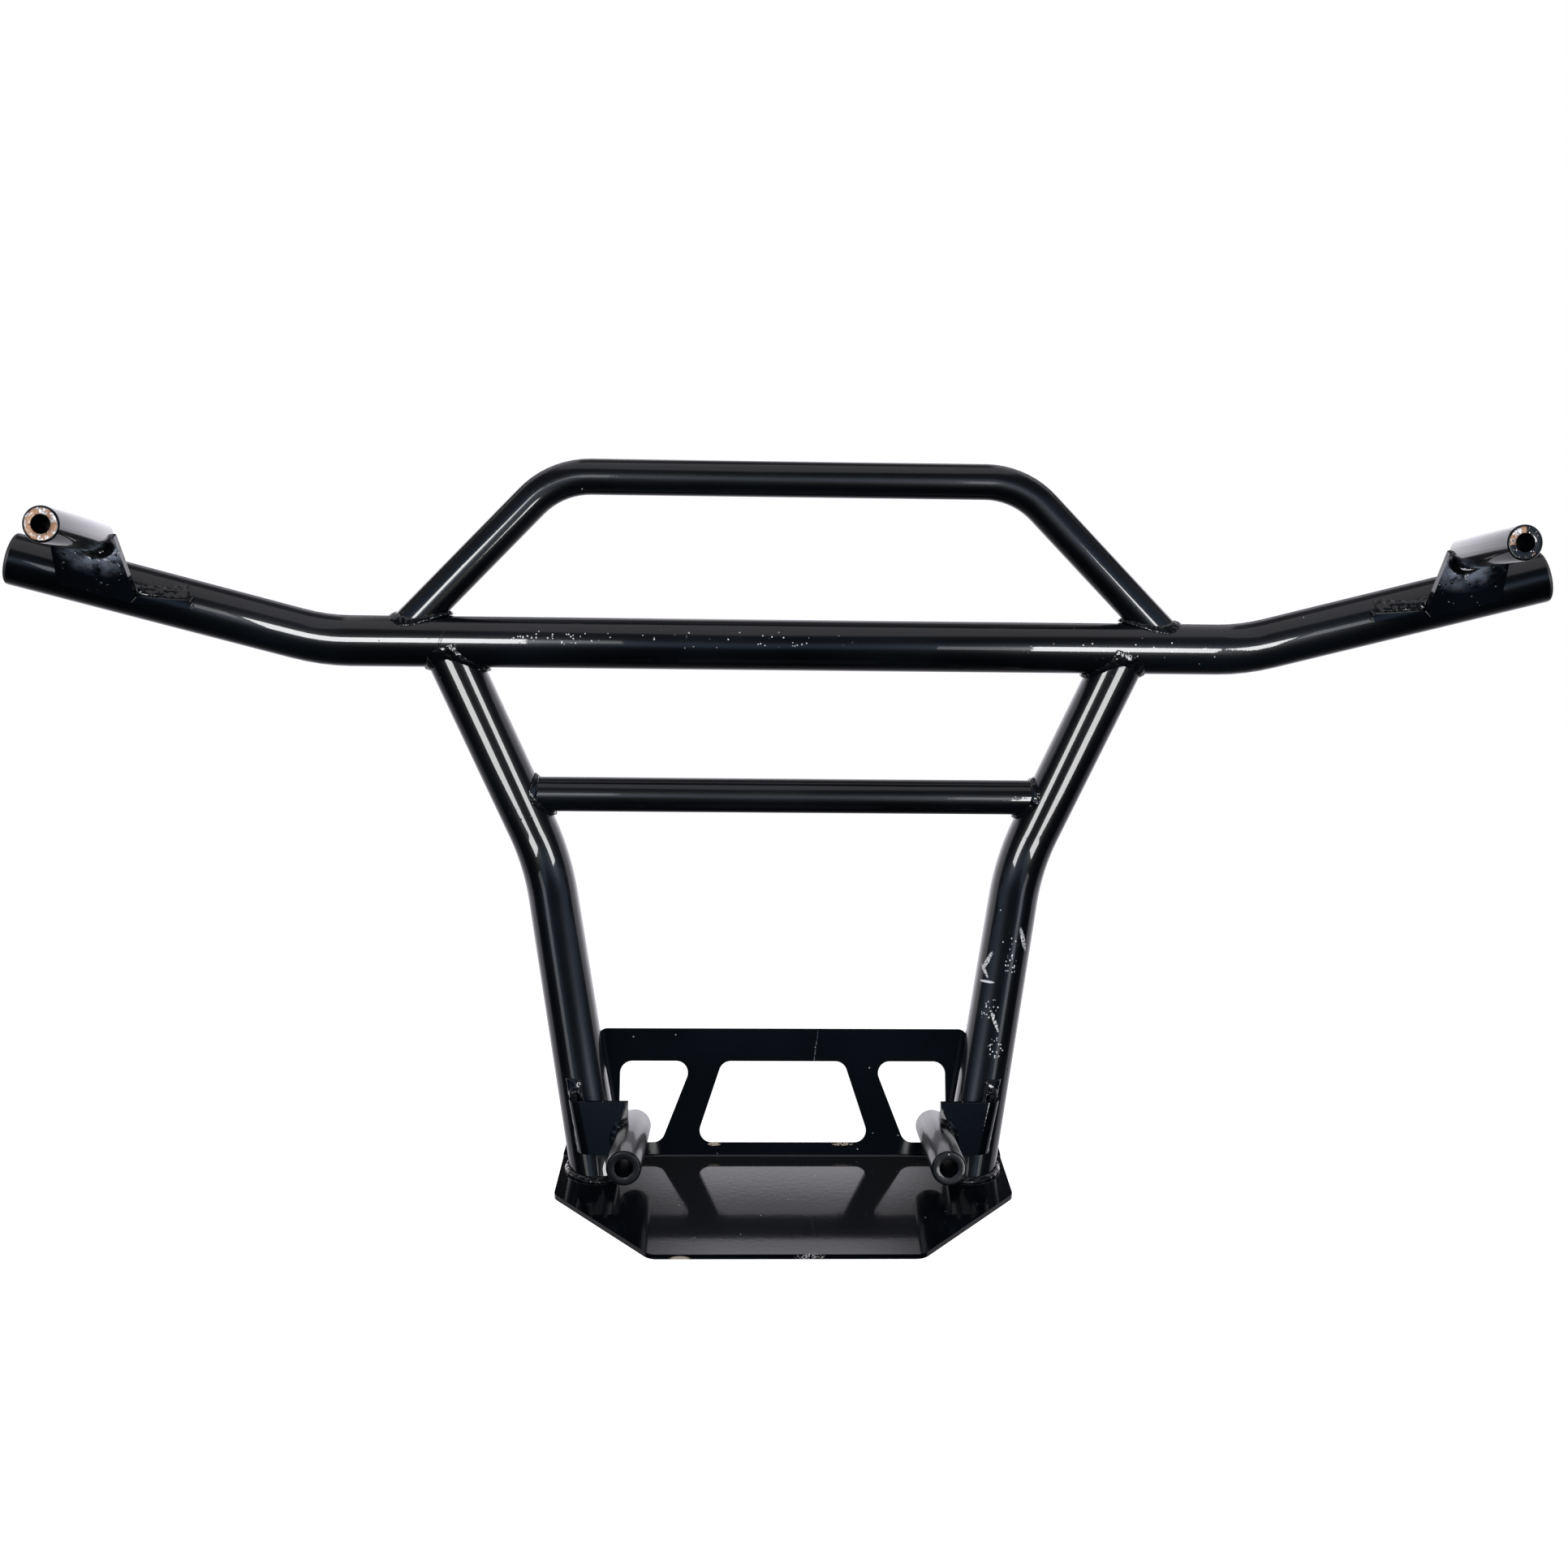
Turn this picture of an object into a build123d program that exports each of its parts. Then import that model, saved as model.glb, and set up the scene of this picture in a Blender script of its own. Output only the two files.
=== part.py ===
# Front bumper for a small quad bike: bent steel tubes, a folded skid plate and four welded mounting sleeves.
# Frame: origin midway between the rear ends of the two lower sleeves, +X right, +Y forward, +Z up, millimetres.
# The vehicle is on the -Y side, and all four mounting bolts run along Y.
import math
import os

from build123d import *

os.makedirs("parts", exist_ok=True)

# Tube stock
heavy_outside_diameter = 31.75
heavy_wall = 2.0
light_outside_diameter = 22.2
light_wall = 1.8

# Gap left between a shaped tube end and the tube that it stands on, covered by the weld
fit_up_gap = 0.05

# Main tube, straight in the middle, with a wing bent up and back at each end
main_y = 107.0
main_z = 297.0
main_bend_x = 283.0
main_bend_radius = 114.0
wing_end_x = 459.0
wing_sweep_back = 22.7
wing_rise = 45.6

# Hoop above the main tube
hoop_foot_x = 241.0
hoop_corner_x = 142.3
hoop_rise = 101.3
hoop_bend_radius = 51.0

# Legs below the main tube
leg_top_x = 209.7
knee_x = 151.3
knee_forward = 33.4
knee_drop = 137.6
knee_bend_radius = 89.0
foot_x = 115.2
foot_y = 89.5
foot_z = -26.7

# Cross bar between the legs
cross_bar_drop = 94.8

# Skid plate, one folded sheet
sheet_thickness = 3.0
fold_inside_radius = 3.0
fold_half_width = 137.5
upright_height = 80.0
upright_top_half_width = 116.5
upright_corner_radius = 6.0
flange_slope = 8.6
flange_length = 126.6
flange_side_length = 52.0
flange_rear_half_width = 76.6
flange_corner_radius = 9.0
leg_to_plate_gap = 0.2

# Windows in the upright, heights measured up it from the fold
window_low = 9.0
window_high = 59.5
window_corner_radius = 7.5
centre_window_low_half_width = 55.3
centre_window_high_half_width = 38.7
side_window_outer_x = 103.3
side_window_low_inner_x = 76.5
side_window_high_inner_x = 57.0

# Mounting sleeves, all parallel to Y
sleeve_outside_diameter = 20.0
sleeve_bore_diameter = 10.5
sleeve_end_bevel = 0.8
lower_sleeve_x = 92.0
lower_sleeve_length = 93.0
upper_sleeve_inset = 58.2
upper_sleeve_above_wing = 26.979
upper_sleeve_rear_y = -20.5
upper_sleeve_length = 77.5

# Lower brackets, a bent strap from the leg to the sleeve
strap_thickness = 4.0
strap_inside_radius = 3.0
strap_rear_y = 62.0
strap_inner_x = 94.0
strap_outer_x = 125.0
strap_low_z = -10.0
strap_high_z = 22.0

# Upper brackets, a flat gusset on the back of the wing, standing up and leaning back to the sleeve
gusset_thickness = 4.5
gusset_below_rear_angle = 30.0
gusset_low_edge = 3.5
gusset_outer_low = 29.5
gusset_outer_top = 35.0
gusset_outer_top_height = 28.0
gusset_inner_low = 12.5
gusset_inner_top = 0.5
gusset_inner_top_height = 44.0
gusset_corner_radius = 4.0
tongue_length = 34.0
tongue_height = 4.2
tongue_angle = 8.5
tongue_root = 3.0
tongue_tip_radius = 2.0

# End plugs
plug_rim_thickness = 2.0
plug_rim_inset = 0.4
plug_insert_length = 14.0
plug_insert_clearance = 0.05
plug_wall = 2.0

# Weld beads
tube_bead = 2.5
foot_bead = 3.0
sleeve_bead = 3.2
strap_bead = 3.0
strap_bead_above = 8.0
gusset_bead_low = 6.0
gusset_bead_high = 13.0
tongue_bead = 3.0
tongue_bead_width = 4.0
tongue_bead_short_of_tip = 3.0

# Values that follow
heavy_radius = heavy_outside_diameter / 2
light_radius = light_outside_diameter / 2
sleeve_radius = sleeve_outside_diameter / 2
wing_slope = wing_rise / (wing_end_x - main_bend_x)
upper_sleeve_x = wing_end_x - upper_sleeve_inset
upper_sleeve_z = main_z + wing_rise - upper_sleeve_inset * wing_slope + upper_sleeve_above_wing
knee_y = main_y + knee_forward
knee_z = main_z - knee_drop
cross_bar_z = main_z - cross_bar_drop
cross_bar_share = cross_bar_drop / knee_drop
cross_bar_half_x = leg_top_x + (knee_x - leg_top_x) * cross_bar_share
cross_bar_y = main_y + knee_forward * cross_bar_share
upright_lean = math.degrees(math.atan2(knee_y - foot_y, knee_z - foot_z))


# Helpers

def unit(vector):
    return vector.normalized()


def bent_wire(points, radius):
    """Straight runs between the points, with a tangent arc of one radius at each inner point."""
    points = [Vector(*p) for p in points]
    edges = []
    start = points[0]
    for before, corner, after in zip(points, points[1:], points[2:]):
        back = unit(before - corner)
        on = unit(after - corner)
        half = math.acos(max(-1.0, min(1.0, back.dot(on)))) / 2
        reach = radius / math.tan(half)
        first = corner + back * reach
        last = corner + on * reach
        middle = corner + unit(back + on) * (radius / math.sin(half) - radius)
        edges.append(Edge.make_line(start, first))
        edges.append(Edge.make_three_point_arc(first, middle, last))
        start = last
    edges.append(Edge.make_line(start, points[-1]))
    return Wire(edges)


def rod(points, radius, bend_radius=0.0):
    """A solid round bar along the points."""
    wire = bent_wire(points, bend_radius)
    profile = Plane(origin=wire @ 0, z_dir=wire % 0) * Circle(radius)
    return sweep(profile, path=wire)


def tube(points, radius, wall, bend_radius=0.0):
    """A hollow round tube along the points."""
    wire = bent_wire(points, bend_radius)
    profile = Plane(origin=wire @ 0, z_dir=wire % 0) * (Circle(radius) - Circle(radius - wall))
    return sweep(profile, path=wire)


def largest(shape):
    """The biggest solid of a cut shape, without the scraps left past the cut."""
    return sorted(shape.solids(), key=lambda s: s.volume)[-1]


def mirrored(shape):
    return mirror(shape, about=Plane.YZ)


def cylinder_along_y(x, z, low_y, high_y, radius):
    plane = Plane(origin=(x, low_y, z), x_dir=(1, 0, 0), z_dir=(0, 1, 0))
    return extrude(plane * Circle(radius), amount=high_y - low_y)


# Main tube

main_points = [
    (-wing_end_x, main_y - wing_sweep_back, main_z + wing_rise),
    (-main_bend_x, main_y, main_z),
    (main_bend_x, main_y, main_z),
    (wing_end_x, main_y - wing_sweep_back, main_z + wing_rise),
]


def main_form(extra):
    return rod(main_points, heavy_radius + extra, main_bend_radius)


def make_main_tube():
    return tube(main_points, heavy_radius, heavy_wall, main_bend_radius)


# Right end plug, a thin rim over the tube's end with a hollow insert inside it

wing_end = Vector(wing_end_x, main_y - wing_sweep_back, main_z + wing_rise)
wing_direction = unit(wing_end - Vector(main_bend_x, main_y, main_z))


def make_end_plug():
    bore = heavy_radius - heavy_wall - plug_insert_clearance
    outward = Plane(origin=wing_end, z_dir=wing_direction)
    inward = Plane(origin=wing_end, z_dir=wing_direction * -1)
    rim = extrude(outward * Circle(heavy_radius - plug_rim_inset), amount=plug_rim_thickness)
    rim = fillet(rim.edges().group_by(lambda e: (e.center() - wing_end).dot(wing_direction))[-1], 0.9)
    insert = extrude(inward * (Circle(bore) - Circle(bore - plug_wall)), amount=plug_insert_length)
    return rim + insert


# Hoop

hoop_points = [
    (-hoop_foot_x, main_y, main_z),
    (-hoop_corner_x, main_y, main_z + hoop_rise),
    (hoop_corner_x, main_y, main_z + hoop_rise),
    (hoop_foot_x, main_y, main_z),
]


def hoop_form(extra):
    return rod(hoop_points, light_radius + extra, hoop_bend_radius)


def make_hoop_tube():
    blank = tube(hoop_points, light_radius, light_wall, hoop_bend_radius)
    return largest(blank - main_form(fit_up_gap))


# Right leg

foot = Vector(foot_x, foot_y, foot_z)
knee = Vector(knee_x, knee_y, knee_z)
leg_past_foot = foot + (foot - knee) * 0.2
leg_points = [
    (leg_top_x, main_y, main_z),
    (knee_x, knee_y, knee_z),
    (leg_past_foot.X, leg_past_foot.Y, leg_past_foot.Z),
]


def leg_form(extra):
    return rod(leg_points, heavy_radius + extra, knee_bend_radius)


def leg_axis_at(z):
    """The point of the lower leg's axis at a height."""
    share = (z - foot.Z) / (knee.Z - foot.Z)
    return foot + (knee - foot) * share


# Skid plate: the legs stand on its flange, and its upright is tangent to their front

lean = math.radians(upright_lean)
slope = math.radians(flange_slope)
up_the_upright = Vector(0, math.sin(lean), math.cos(lean))
rearward_normal = Vector(0, -math.cos(lean), math.sin(lean))
along_flange = Vector(0, -math.cos(slope), -math.sin(slope))
top_normal = Vector(0, -math.sin(slope), math.cos(slope))
foot_to_fold = (heavy_radius + leg_to_plate_gap) / math.cos(lean + slope)
fold = Vector(0, foot_y, foot_z) - along_flange * foot_to_fold
fold_inside_angle = math.radians(90 + upright_lean + flange_slope)
fold_tangent = fold_inside_radius / math.tan(fold_inside_angle / 2)
upright_plane = Plane(origin=fold, x_dir=(1, 0, 0), z_dir=rearward_normal)
flange_plane = Plane(origin=fold, x_dir=(1, 0, 0), z_dir=top_normal * -1)


def fold_arc(radius_more):
    """Upright point, middle and flange point of the fold's arc, at the inside face or further out."""
    centre = fold + up_the_upright * fold_tangent + rearward_normal * fold_inside_radius
    radius = fold_inside_radius + radius_more
    high = centre - rearward_normal * radius
    low = centre - top_normal * radius
    middle = centre - unit(rearward_normal + top_normal) * radius
    return high, middle, low


def rounded_window(points):
    return make_face(FilletPolyline(*points, radius=window_corner_radius, close=True))


def make_windows():
    centre = rounded_window([
        (-centre_window_low_half_width, window_low),
        (centre_window_low_half_width, window_low),
        (centre_window_high_half_width, window_high),
        (-centre_window_high_half_width, window_high),
    ])
    right = rounded_window([
        (side_window_low_inner_x, window_low),
        (side_window_outer_x, window_low),
        (side_window_outer_x, window_high),
        (side_window_high_inner_x, window_high),
    ])
    left = rounded_window([
        (-side_window_low_inner_x, window_low),
        (-side_window_high_inner_x, window_high),
        (-side_window_outer_x, window_high),
        (-side_window_outer_x, window_low),
    ])
    return centre + right + left


def make_upright():
    outline = make_face(Polyline(
        (-fold_half_width, fold_tangent),
        (fold_half_width, fold_tangent),
        (upright_top_half_width, upright_height),
        (-upright_top_half_width, upright_height),
        close=True,
    ))
    top_corners = outline.vertices().group_by(Axis.Y)[-1]
    outline = fillet(top_corners, upright_corner_radius)
    return extrude(upright_plane * (outline - make_windows()), amount=-sheet_thickness)


def make_flange():
    outline = make_face(Polyline(
        (-fold_half_width, fold_tangent),
        (fold_half_width, fold_tangent),
        (fold_half_width, flange_side_length),
        (flange_rear_half_width, flange_length),
        (-flange_rear_half_width, flange_length),
        (-fold_half_width, flange_side_length),
        close=True,
    ))
    rear_corners = [v for v in outline.vertices() if v.Y > fold_tangent + 1]
    outline = fillet(rear_corners, flange_corner_radius)
    return extrude(flange_plane * outline, amount=sheet_thickness)


def make_fold():
    high, middle, low = fold_arc(0.0)
    outer_high, outer_middle, outer_low = fold_arc(sheet_thickness)
    shift = Vector(-fold_half_width, 0, 0)
    section = Wire([
        Edge.make_three_point_arc(high + shift, middle + shift, low + shift),
        Edge.make_line(low + shift, outer_low + shift),
        Edge.make_three_point_arc(outer_low + shift, outer_middle + shift, outer_high + shift),
        Edge.make_line(outer_high + shift, high + shift),
    ])
    return extrude(Face(section), amount=2 * fold_half_width, dir=(1, 0, 0))


def make_skid_plate():
    return make_upright() + make_fold() + make_flange()


def below_the_plate():
    """All the room from the plate's inside faces outward, to cut the feet of the legs with."""
    room = 2 * flange_length
    shift = Vector(-room, 0, 0)
    high, middle, low = [point + shift for point in fold_arc(0.0)]
    top = fold + up_the_upright * room + shift
    rear = fold + along_flange * room + shift
    rear_low = rear - top_normal * room
    top_front = top - rearward_normal * room * 2
    section = Wire([
        Edge.make_line(top, high),
        Edge.make_three_point_arc(high, middle, low),
        Edge.make_line(low, rear),
        Edge.make_line(rear, rear_low),
        Edge.make_line(rear_low, top_front),
        Edge.make_line(top_front, top),
    ])
    return extrude(Face(section), amount=2 * room, dir=(1, 0, 0))


def make_leg_tube():
    blank = tube(leg_points, heavy_radius, heavy_wall, knee_bend_radius)
    blank = largest(blank - main_form(fit_up_gap))
    return largest(blank - below_the_plate())


# Cross bar

cross_bar_points = [
    (-cross_bar_half_x, cross_bar_y, cross_bar_z),
    (cross_bar_half_x, cross_bar_y, cross_bar_z),
]


def cross_bar_form(extra):
    return rod(cross_bar_points, light_radius + extra)


def make_cross_bar():
    blank = tube(cross_bar_points, light_radius, light_wall)
    right_leg = leg_form(fit_up_gap)
    return largest(blank - right_leg - mirrored(right_leg))


# Sleeves

def make_sleeve(x, z, rear_y, length):
    body = cylinder_along_y(x, z, rear_y, rear_y + length, sleeve_radius)
    body = chamfer(body.edges().filter_by(GeomType.CIRCLE), sleeve_end_bevel)
    return body - cylinder_along_y(x, z, rear_y, rear_y + length, sleeve_bore_diameter / 2)


def make_lower_sleeve():
    return make_sleeve(lower_sleeve_x, 0.0, 0.0, lower_sleeve_length)


def make_upper_sleeve():
    return make_sleeve(upper_sleeve_x, upper_sleeve_z, upper_sleeve_rear_y, upper_sleeve_length)


def lower_sleeve_form(extra):
    return cylinder_along_y(lower_sleeve_x, 0.0, 0.0, lower_sleeve_length, sleeve_radius + extra)


def upper_sleeve_form(extra):
    high_y = upper_sleeve_rear_y + upper_sleeve_length
    return cylinder_along_y(upper_sleeve_x, upper_sleeve_z, upper_sleeve_rear_y, high_y, sleeve_radius + extra)


# Right lower bracket: a strap bent once, its web behind the leg and its side running forward to the leg

strap_middle_z = (strap_low_z + strap_high_z) / 2
strap_lean = (knee.X - foot.X) / (knee.Z - foot.Z)


def strap_form(extra, below, above):
    """The strap before its ends are shaped, thickened by an extra on both faces."""
    low_z = strap_low_z - below
    high_z = strap_high_z + above
    shift = strap_lean * (low_z - strap_middle_z)
    leg_y = leg_axis_at(strap_middle_z).Y
    outer = strap_outer_x + shift + strap_thickness / 2 + extra
    inner = strap_outer_x + shift - strap_thickness / 2 - extra
    rear = strap_rear_y - extra
    front = strap_rear_y + strap_thickness + extra
    start = strap_inner_x - extra - 10
    outline = make_face(Plane.XY.offset(low_z) * Polyline(
        (start, rear),
        (outer, rear),
        (outer, leg_y),
        (inner, leg_y),
        (inner, front),
        (start, front),
        close=True,
    ))
    corner = [v for v in outline.vertices() if v.X > outer - 0.01 and v.Y < rear + 0.01]
    outline = fillet(corner, strap_inside_radius + strap_thickness + extra)
    if extra < strap_inside_radius:
        inside = [v for v in outline.vertices() if abs(v.X - inner) < 0.01 and abs(v.Y - front) < 0.01]
        outline = fillet(inside, strap_inside_radius - extra)
    rise = high_z - low_z
    direction = Vector(strap_lean, 0, 1)
    return extrude(outline, amount=rise * direction.length, dir=direction)


def make_lower_bracket():
    strap = strap_form(0.0, 0.0, 0.0)
    inboard = Pos(strap_inner_x - 50, strap_rear_y, strap_middle_z) * Box(100, 100, 100)
    strap = strap - inboard
    strap = strap - lower_sleeve_form(fit_up_gap)
    return largest(strap - leg_form(fit_up_gap))


# Right upper bracket: a flat gusset tangent to the wing's lower rear face, notched round the sleeve

def wing_axis_at(x):
    share = (x - main_bend_x) / (wing_end_x - main_bend_x)
    return Vector(x, main_y - wing_sweep_back * share, main_z + wing_rise * share)


below_rear = math.radians(gusset_below_rear_angle)
wing_back = unit(Vector(0, -1, 0) - wing_direction * Vector(0, -1, 0).dot(wing_direction))
wing_up = unit(Vector(0, 0, 1) - wing_direction * Vector(0, 0, 1).dot(wing_direction)
               - wing_back * Vector(0, 0, 1).dot(wing_back))
gusset_normal = unit(wing_back * math.cos(below_rear) - wing_up * math.sin(below_rear))
gusset_rise = unit(wing_back * math.sin(below_rear) + wing_up * math.cos(below_rear))
gusset_foot = wing_axis_at(upper_sleeve_x) + gusset_normal * (heavy_radius + fit_up_gap)
gusset_plane = Plane(origin=gusset_foot, x_dir=wing_direction, z_dir=gusset_normal)
if gusset_plane.y_dir.dot(gusset_rise) > 0:
    gusset_side = 1.0
else:
    gusset_side = -1.0


def on_gusset(points):
    """Points given as distance out along the wing and height up the gusset."""
    return [(u, v * gusset_side) for u, v in points]


def along_tongue(inboard, up):
    """A point inboard along the tongue's low edge and up from it, as distances on the gusset."""
    angle = math.radians(tongue_angle)
    u = -gusset_inner_low - inboard * math.cos(angle) + up * math.sin(angle)
    v = gusset_low_edge + inboard * math.sin(angle) + up * math.cos(angle)
    return u, v


def gusset_outline():
    outline = make_face(Polyline(*on_gusset([
        (-gusset_inner_low, gusset_low_edge),
        (gusset_outer_low, gusset_low_edge),
        (gusset_outer_top, gusset_outer_top_height),
        ((gusset_outer_top + gusset_inner_top) / 2, gusset_inner_top_height),
        (gusset_inner_top, gusset_inner_top_height),
        along_tongue(tongue_root, tongue_height),
    ]), close=True))
    outer_corner = outline.vertices().sort_by(Axis.X)[-2:]
    return fillet(outer_corner, gusset_corner_radius)


def gusset_block(face, back, front):
    """A block of the given outline on the gusset's plane, from a depth behind it to one before it."""
    return extrude(gusset_plane.offset(back) * face, amount=front - back)


def make_tongue():
    """The gusset's tongue, bent to lie on the wing and run inboard along it."""
    overlap = 0.5
    outline = make_face(Polyline(*on_gusset([
        along_tongue(-overlap, 0.0),
        along_tongue(tongue_length, 0.0),
        along_tongue(tongue_length, tongue_height),
        along_tongue(-overlap, tongue_height),
    ]), close=True))
    tip = outline.vertices().sort_by(Axis.X)[:2]
    outline = fillet(tip, tongue_tip_radius)
    sheet = main_form(fit_up_gap + gusset_thickness) - main_form(fit_up_gap)
    return largest(sheet & gusset_block(outline, -heavy_radius, heavy_radius))


def make_upper_bracket():
    plate = gusset_block(gusset_outline(), 0.0, gusset_thickness) + make_tongue()
    return largest(plate - cylinder_along_y(upper_sleeve_x, upper_sleeve_z, upper_sleeve_rear_y - heavy_radius,
                                            main_y, sleeve_radius + fit_up_gap))


# Weld beads, right-hand ones

def saddle_bead(carrier_grown, carrier, branch_grown, branch):
    """A bead round the foot of a branch, on the carrier and on the branch."""
    return largest((carrier_grown & branch_grown) - carrier - branch)


def right_half():
    size = 4 * wing_end_x
    return Pos(size / 2, 0, 0) * Box(size, size, size)


def make_weld_hoop():
    bead = (main_form(tube_bead) & (hoop_form(tube_bead) & right_half())) - main_form(0.0) - hoop_form(0.0)
    return largest(bead)


def make_weld_leg_top():
    return saddle_bead(main_form(tube_bead), main_form(0.0), leg_form(tube_bead), leg_form(0.0))


def make_weld_cross_bar():
    bar_grown = cross_bar_form(tube_bead) & right_half()
    return saddle_bead(leg_form(tube_bead), leg_form(0.0), bar_grown, cross_bar_form(0.0))


def make_weld_leg_foot():
    above = Plane(origin=fold + top_normal * foot_bead, x_dir=(1, 0, 0), z_dir=top_normal * -1)
    slab = extrude(above * Rectangle(4 * fold_half_width, 4 * flange_length), amount=4 * foot_bead)
    bead = (leg_form(foot_bead) & slab) - leg_form(0.0) - below_the_plate()
    return largest(bead)


def make_weld_lower_sleeve():
    ring = cylinder_along_y(lower_sleeve_x, 0.0, strap_rear_y - sleeve_bead, strap_rear_y,
                            sleeve_radius + sleeve_bead)
    edge = chamfer(ring.edges().filter_by(GeomType.CIRCLE).sort_by(Axis.Y)[0], sleeve_bead * 0.7)
    outboard = Pos(strap_inner_x + 50, strap_rear_y, 0) * Box(100, 100, 60)
    return largest((edge & outboard) - lower_sleeve_form(0.0))


def make_weld_lower_bracket():
    near_leg = leg_form(strap_bead) - leg_form(0.0)
    grown = strap_form(strap_bead, strap_bead, strap_bead_above)
    behind_axis = Pos(strap_outer_x, leg_axis_at(strap_middle_z).Y - 50, strap_middle_z) * Box(60, 92, 80)
    return largest((near_leg & grown & behind_axis) - strap_form(0.0, 0.0, 0.0))


def make_weld_upper_sleeve():
    rear_plane = gusset_plane.offset(gusset_thickness)
    slab = extrude(rear_plane * gusset_outline(), amount=sleeve_bead)
    ring = cylinder_along_y(upper_sleeve_x, upper_sleeve_z, upper_sleeve_rear_y, main_y,
                            sleeve_radius + sleeve_bead)
    hole = cylinder_along_y(upper_sleeve_x, upper_sleeve_z, upper_sleeve_rear_y, main_y, sleeve_radius)
    return largest((slab & ring) - hole)


def make_weld_upper_bracket():
    """The weld between the wing and the gusset's front face, and the one on top of the tongue."""
    behind = make_face(Polyline(*on_gusset([
        (-gusset_inner_low - tongue_root, gusset_bead_low),
        (gusset_outer_low, gusset_bead_low),
        (gusset_outer_low, gusset_bead_high),
        (-gusset_inner_low - tongue_root, gusset_bead_high),
    ]), close=True))
    over = make_face(Polyline(*on_gusset([
        along_tongue(tongue_length - tongue_bead_short_of_tip, tongue_height / 2),
        along_tongue(tongue_length - tongue_bead_short_of_tip, tongue_height + tongue_bead_width),
        along_tongue(-tongue_root, tongue_height + tongue_bead_width),
        along_tongue(-tongue_root, tongue_height / 2),
    ]), close=True))
    shell = main_form(tongue_bead)
    bead = gusset_block(behind, -heavy_radius / 2, 0.0) + (gusset_block(over, -heavy_radius, heavy_radius) & shell)
    return largest(bead - main_form(0.0) - make_upper_bracket())


# Write every piece

right_pieces = {
    "end_plug": make_end_plug,
    "leg_tube": make_leg_tube,
    "lower_bracket": make_lower_bracket,
    "lower_sleeve": make_lower_sleeve,
    "upper_bracket": make_upper_bracket,
    "upper_sleeve": make_upper_sleeve,
    "weld_hoop": make_weld_hoop,
    "weld_leg_top": make_weld_leg_top,
    "weld_cross_bar": make_weld_cross_bar,
    "weld_leg_foot": make_weld_leg_foot,
    "weld_lower_sleeve": make_weld_lower_sleeve,
    "weld_lower_bracket": make_weld_lower_bracket,
    "weld_upper_sleeve": make_weld_upper_sleeve,
    "weld_upper_bracket": make_weld_upper_bracket,
}

export_step(make_main_tube(), "parts/main_tube.step")
export_step(make_hoop_tube(), "parts/hoop_tube.step")
export_step(make_cross_bar(), "parts/cross_bar.step")
export_step(make_skid_plate(), "parts/skid_plate.step")
for name, make in right_pieces.items():
    piece = make()
    export_step(piece, f"parts/{name}_right.step")
    export_step(mirrored(piece), f"parts/{name}_left.step")
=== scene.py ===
"""Dresses the quad bike's front bumper in gloss black paint, weld beads and spatter, in a studio."""

import math
import random

import bmesh
import bpy
from mathutils import Matrix, Vector, noise
from mathutils.bvhtree import BVHTree


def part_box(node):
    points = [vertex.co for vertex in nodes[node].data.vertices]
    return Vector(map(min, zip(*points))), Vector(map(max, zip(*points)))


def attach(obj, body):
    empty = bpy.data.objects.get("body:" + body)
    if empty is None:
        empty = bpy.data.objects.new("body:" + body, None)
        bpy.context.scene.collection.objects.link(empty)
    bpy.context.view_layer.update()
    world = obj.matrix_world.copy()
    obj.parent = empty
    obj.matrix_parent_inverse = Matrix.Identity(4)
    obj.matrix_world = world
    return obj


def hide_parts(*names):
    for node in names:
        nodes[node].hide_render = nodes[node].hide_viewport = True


bl_info = {
    "name": "Quad bike front bumper",
    "version": (1, 0, 0),
    "blender": (4, 5, 0),
    "location": "View3D > Sidebar > Bumper",
    "description": "Dresses the welded tube bumper with paint, weld beads and a studio",
    "category": "Object",
}

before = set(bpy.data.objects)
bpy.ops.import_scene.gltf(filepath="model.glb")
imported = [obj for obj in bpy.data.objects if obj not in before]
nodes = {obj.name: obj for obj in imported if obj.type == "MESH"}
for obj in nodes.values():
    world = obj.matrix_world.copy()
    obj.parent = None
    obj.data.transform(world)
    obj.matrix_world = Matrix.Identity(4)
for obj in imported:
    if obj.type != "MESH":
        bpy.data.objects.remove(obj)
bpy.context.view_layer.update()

# Meshing

merge_distance = 0.000002
sharp_angle = math.radians(35.0)
split_angle = math.radians(32.0)
rounding_steps = 3
flat_weight = 80
sleeve_rounding = 0.0002

# Paint: noise scales for each metre, sizes and heights in metres

cloud_scale = 14.0
cloud_range = (0.35, 0.75)
cloud_roughness = 0.05
dark_shade = 0.75
pale_shade = 1.6
satin_lift = 14.0
satin_coat = 0.6
coat_ior = 1.55
ripple_scale = 320.0
skin_scale = 700.0
dust_spacing = 0.009
dust_height = 0.0001
dust_grey = (0.28, 0.29, 0.3)
mark_roughness = 0.4
scuff_and_highlight_core = 0.7
dense_share = 0.3
speck_spacing = 0.0014
speck_radius = 0.0005
scuff_and_highlight_range = (0.62, 0.68)
scuff_and_highlight_widening = 0.3

# Painted bluish sheen below the upper sleeves: its patch, grain and the bumps of its drops

sheen_patch_below = 0.011
sheen_patch_reach = (0.034, 0.06, 0.022)
painted_sheen_tint = (0.36, 0.42, 0.54)
sheen_patch_core = 0.15
sheen_patch_grain_scale = 160.0
sheen_patch_grain_range = (0.3, 0.66)
sheen_patch_drop_scale = 330.0
sheen_patch_drop_height = 0.0009

# Bare steel on the rear ends of the upper sleeves

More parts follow.
